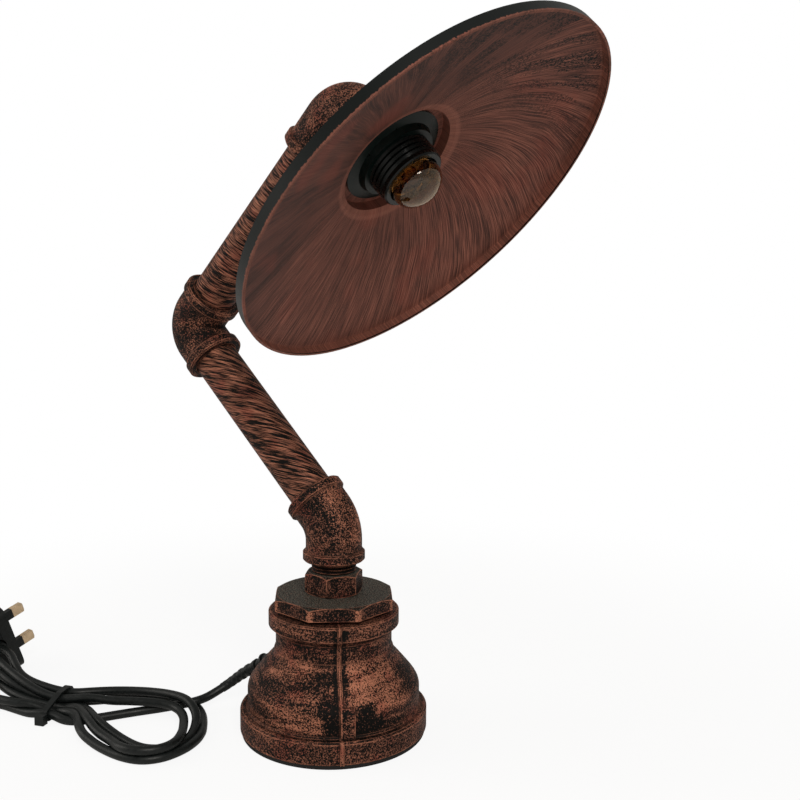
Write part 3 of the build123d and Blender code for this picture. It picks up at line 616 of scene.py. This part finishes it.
def shade_finish():
    """Brush lines that fan out from the hole, and a black outside that laps round the rim."""
    shader = Shader("antique_shade")
    local = shader.local(head_corner, head_line, (1.0, 0.0, 1.0))
    x, y, depth = shader.parts(local)
    radius = shader.reach(x, y)
    swirl = shader.times(shader.minus(radius, y), shade_swirl)
    angle = shader.plus(shader.math("ARCTAN2", y, x), swirl)
    sway = shader.noise(local, scale=22.0, detail=1.0)
    angle = shader.plus(angle, shader.times(shader.minus(sway, 0.5), 0.10))
    cosine = shader.math("COSINE", angle)
    sine = shader.math("SINE", angle)

    def fan(across, along):
        return shader.strokes(
            shader.times(cosine, across), shader.times(sine, across),
            shader.times(radius, along), detail=3.0,
        )

    fine = fan(across=230.0, along=45.0)
    broad = fan(across=9.0, along=20.0)
    cloud = shader.noise(local, scale=26.0)
    # Painted shade: the near side is darker, and its lines are fainter.
    smooth = shader.ramp(shader.plus(y, shader.times(x, 0.35)), 5 * MM, 50 * MM)
    patches = shader.ramp(broad, 0.30, 0.60, 0.40, 1.0)
    patches = shader.minus(patches, shader.times(smooth, 0.35), clamp=True)
    line_strength = shader.ramp(smooth, 0.0, 1.0, 1.0, 0.3)
    light_lines = shader.times(shader.ramp(fine, 0.49, 0.64, 0.0, 0.75), line_strength)
    dark_lines = shader.times(shader.ramp(fine, 0.49, 0.38, 0.0, 0.8), line_strength)
    # Black mottling towards the rim at the raised end.
    raised_end = shader.times(shader.ramp(x, 35 * MM, 90 * MM), shader.ramp(broad, 0.56, 0.44))
    speck = shader.ramp(shader.noise(local, scale=900.0), 0.48, 0.56)
    # Painted highlight: a thin lighter ring just inside the rim.
    rim_painted_highlight = shader.ramp(radius, rim_radius - 3 * MM, rim_radius - 1 * MM)
    # Painted highlight: a lighter ring on the step round the hole.
    step_painted_highlight = shader.near(radius, hole_radius + 3 * MM, 2 * MM, 2 * MM)

    inner = shader.mix(patches, shade_dark, shade_brown)
    for factor, colour in (
        (shader.ramp(cloud, 0.52, 0.68, 0.0, 0.6), shade_red),
        (light_lines, shade_light),
        (dark_lines, shade_dark),
        (shader.times(raised_end, speck), shade_black),
        (shader.times(rim_painted_highlight, 0.25), shade_light),
        (shader.times(step_painted_highlight, 0.35), shade_light),
    ):
        inner = shader.mix(factor, inner, colour)

    # Black outside: what faces back, the rim's wall up to a ragged line, and the step's wall.
    normal = shader.normal()
    back = shader.ramp(shader.dot(normal, tuple(head_line)), -0.02, -0.12)
    rim_wall = shader.ramp(radius, rim_radius - 0.4 * MM, rim_radius - 0.2 * MM)
    jag = shader.noise(local, scale=800.0)
    ragged_depth = shader.plus(depth, shader.times(jag, 2.2 * MM))
    wrapped = shader.ramp(ragged_depth, rim_depth + 0.1 * MM, rim_depth + 0.4 * MM)
    rim_black = shader.times(rim_wall, shader.minus(1.0, wrapped))
    along_axis = shader.vector("MULTIPLY", shader.join(depth, depth, depth), tuple(-head_line))
    from_corner = shader.vector("SUBTRACT", shader.place(), tuple(head_corner))
    from_axis = shader.vector("ADD", from_corner, along_axis)
    outward = shader.math("DIVIDE", shader.dot(normal, from_axis), radius)
    step_black = shader.times(
        shader.ramp(outward, 0.4, 0.7), shader.ramp(radius, past_step, step_radius)
    )
    outside = shader.most(back, rim_black, step_black)

    shader.bump(fine, shade_line_depth, strength=0.45)
    shader.set("Specular IOR Level", shade_shine)
    rough = shader.ramp(outside, 0.0, 1.0, 0.6, 0.4)
    metallic = shader.ramp(outside, 0.0, 1.0, 0.25, 0.0)
    return shader.finish(shader.mix(outside, inner, shade_black), rough, metallic)


# ---------------------------------------------------------------- plainer materials
mottle_depth = 0.05 * MM
mottle_strength = 0.4
amber_dark = (0.46, 0.29, 0.13, 1.0)
amber_light = (0.56, 0.37, 0.18, 1.0)
glass_ior = 1.48
glass_shine = 0.12
glass_roughness = 0.03


def moulded(name, colour, roughness, scale=300.0, mottling=0.25, metallic=0.0, shine=0.5):
    """A moulded or plated surface: a fine mottling of colour, roughness and height."""
    shader = Shader(name)
    speck = shader.noise(shader.place(), scale, detail=3.0)
    darker = tuple(value * (1 - mottling) for value in colour) + (1.0,)
    lighter = tuple(min(1.0, value * (1 + mottling)) for value in colour) + (1.0,)
    mottled = shader.mix(shader.ramp(speck, 0.3, 0.7), darker, lighter)
    rough = shader.ramp(speck, 0.3, 0.7, roughness * 0.85, min(1.0, roughness * 1.15))
    shader.bump(speck, mottle_depth, mottle_strength)
    shader.set("Specular IOR Level", shine)
    return shader.finish(mottled, rough, metallic)


def glass_finish():
    """The bulb's clear amber glass, slightly uneven."""
    shader = Shader("amber_glass")
    ripple = shader.noise(shader.place(), scale=180.0)
    shader.bump(ripple, mottle_depth, mottle_strength)
    tint = shader.mix(shader.ramp(ripple, 0.3, 0.7), amber_dark, amber_light)
    shader.set("Transmission Weight", 1.0)
    shader.set("IOR", glass_ior)
    shader.set("Specular IOR Level", glass_shine)
    return shader.finish(tint, glass_roughness)


# ---------------------------------------------------------------- finishes by slot and by node
moulded_looks = {
    "rubber_pad": dict(colour=(0.010, 0.010, 0.010), roughness=0.8, shine=0.2),
    "plain_steel": dict(colour=(0.5, 0.49, 0.47), roughness=0.35, metallic=1.0),
    "black_plastic": dict(colour=(0.0050, 0.0065, 0.0065), roughness=0.42, shine=0.22),
    "cord_sheath": dict(
        colour=(0.0045, 0.0060, 0.0060), roughness=0.42, scale=500.0, shine=0.24
    ),
    "pin_brass": dict(
        colour=(0.56, 0.42, 0.27), roughness=0.4, mottling=0.12, metallic=0.6
    ),
    "fuse_ceramic": dict(colour=(0.8, 0.78, 0.72), roughness=0.3, mottling=0.05),
    "holder_plastic": dict(
        colour=(0.0015, 0.0025, 0.0023), roughness=0.25, mottling=0.15, shine=0.2
    ),
    "ring_plastic": dict(
        colour=(0.0020, 0.0050, 0.0042), roughness=0.32, mottling=0.15, shine=0.14
    ),
    "holder_ceramic": dict(colour=(0.8, 0.78, 0.72), roughness=0.55, mottling=0.06),
    "brown_core": dict(colour=(0.16, 0.06, 0.025), roughness=0.45),
    "blue_core": dict(colour=(0.02, 0.07, 0.35), roughness=0.45),
    "bulb_insulator": dict(colour=(0.012, 0.012, 0.014), roughness=0.15),
    "bulb_cap_metal": dict(
        colour=(0.62, 0.60, 0.56), roughness=0.25, mottling=0.08, metallic=1.0
    ),
    "wire_metal": dict(colour=(0.6, 0.55, 0.5), roughness=0.25, mottling=0.1, metallic=1.0),
}
slot_finishes = {name: moulded(name, **look) for name, look in moulded_looks.items()}
slot_finishes["bulb_glass"] = glass_finish()
slot_finishes["dark_fitting"] = fitting_finish()
node_finishes = {
    "base_reducer": reducer_finish(),
    "lower_elbow": elbow_finish("antique_slant_elbow", slant_corner, up, lower_line, level=0.24),
    "middle_elbow": elbow_finish(
        "antique_middle_elbow", middle_corner, lower_line, upper_line, level=0.16
    ),
    "head_elbow": elbow_finish(
        "antique_head_elbow", head_corner, upper_line, head_line, level=0.40
    ),
    "lower_pipe": pipe_finish(
        "brushed_lower_pipe", slant_corner, lower_line, twist=-66.0, across=2300.0, along=130.0
    ),
    "upper_pipe": pipe_finish(
        "brushed_upper_pipe", middle_corner, upper_line, twist=420.0, across=650.0, along=650.0
    ),
    "shade": shade_finish(),
}


def dress(piece, material):
    piece.data.materials.clear()
    piece.data.materials.append(material)


for part in frame["record"]["subparts"]:
    node = part["node"]
    finish = node_finishes.get(node) or slot_finishes[part["material_slot"]]
    dress(frame["nodes"][node], finish)
dress(mains_cord, slot_finishes["cord_sheath"])
dress(cord_relief, slot_finishes["black_plastic"])


# ---------------------------------------------------------------- floor, backdrop and light
floor_half = 8.0
floor_drop = 0.2 * MM
floor_grey = (0.86, 0.86, 0.86, 1.0)
floor_roughness = 0.9
shadows_seen_to = 0.2
white_from = 0.6
white_near_the_lamp = 0.88
sky_colour = (1.0, 0.97, 0.92, 1.0)
sky_strength = 0.42
light_colour = (1.0, 0.96, 0.90)
light_aim = Vector((0.0, 0.0, 0.2))


def white_to_the_eye(tree, surface, share):
    """Mixes plain white into what the camera and the glass see. The light stays as it is."""
    camera_ray = add_node(tree, "ShaderNodeLightPath", output="Is Camera Ray")
    glass_ray = add_node(tree, "ShaderNodeLightPath", output="Is Transmission Ray")
    seen = add_node(tree, "ShaderNodeMath", (0, camera_ray), (1, glass_ray), operation="MAXIMUM")
    part = add_node(tree, "ShaderNodeMath", (0, seen), (1, share), operation="MULTIPLY")
    white = add_node(tree, "ShaderNodeEmission")
    return add_node(tree, "ShaderNodeMixShader", (0, part), (1, surface), (2, white))


def make_floor():
    """A pale floor that takes the lamp's shadow and is plain white further out."""
    mesh = bpy.data.meshes.new("floor")
    shape = bmesh.new()
    bmesh.ops.create_grid(shape, x_segments=1, y_segments=1, size=floor_half)
    shape.to_mesh(mesh)
    shape.free()
    floor = bpy.data.objects.new("floor", mesh)
    floor.location.z = -floor_drop
    bpy.context.scene.collection.objects.link(floor)
    shader = Shader("pale_floor")
    away = shader.vector("LENGTH", shader.place(), (0.0, 0.0, 0.0), output="Value")
    share = shader.ramp(away, shadows_seen_to, white_from, white_near_the_lamp, 1.0)
    shader.finish(floor_grey, floor_roughness)
    surface = white_to_the_eye(shader.tree, shader.surface.outputs[0], share)
    put(shader.tree, shader.tree.nodes["Material Output"].inputs["Surface"], surface)
    mesh.materials.append(shader.material)


def make_world():
    """A warm even sky, which the camera sees as white."""
    world = bpy.data.worlds.new("studio")
    world.use_nodes = True
    tree = world.node_tree
    sky = tree.nodes["Background"]
    put(tree, sky.inputs["Color"], sky_colour)
    put(tree, sky.inputs["Strength"], sky_strength)
    surface = white_to_the_eye(tree, sky.outputs[0], 1.0)
    put(tree, tree.nodes["World Output"].inputs["Surface"], surface)
    bpy.context.scene.world = world


def softbox(name, place, side, power):
    """A square lamp that looks at the middle of the part."""
    data = bpy.data.lights.new(name, "AREA")
    data.shape = "RECTANGLE"
    data.size = side
    data.size_y = side
    data.energy = power
    data.color = light_colour
    lamp = bpy.data.objects.new(name, data)
    lamp.location = place
    lamp.rotation_euler = (light_aim - Vector(place)).to_track_quat("-Z", "Y").to_euler()
    bpy.context.scene.collection.objects.link(lamp)


make_floor()
make_world()
softbox("key_light", (1.3, -1.2, 1.5), side=0.9, power=32.0)
softbox("fill_light", (-1.6, -1.0, 0.9), side=1.2, power=12.0)
bpy.context.scene.view_settings.view_transform = "Standard"
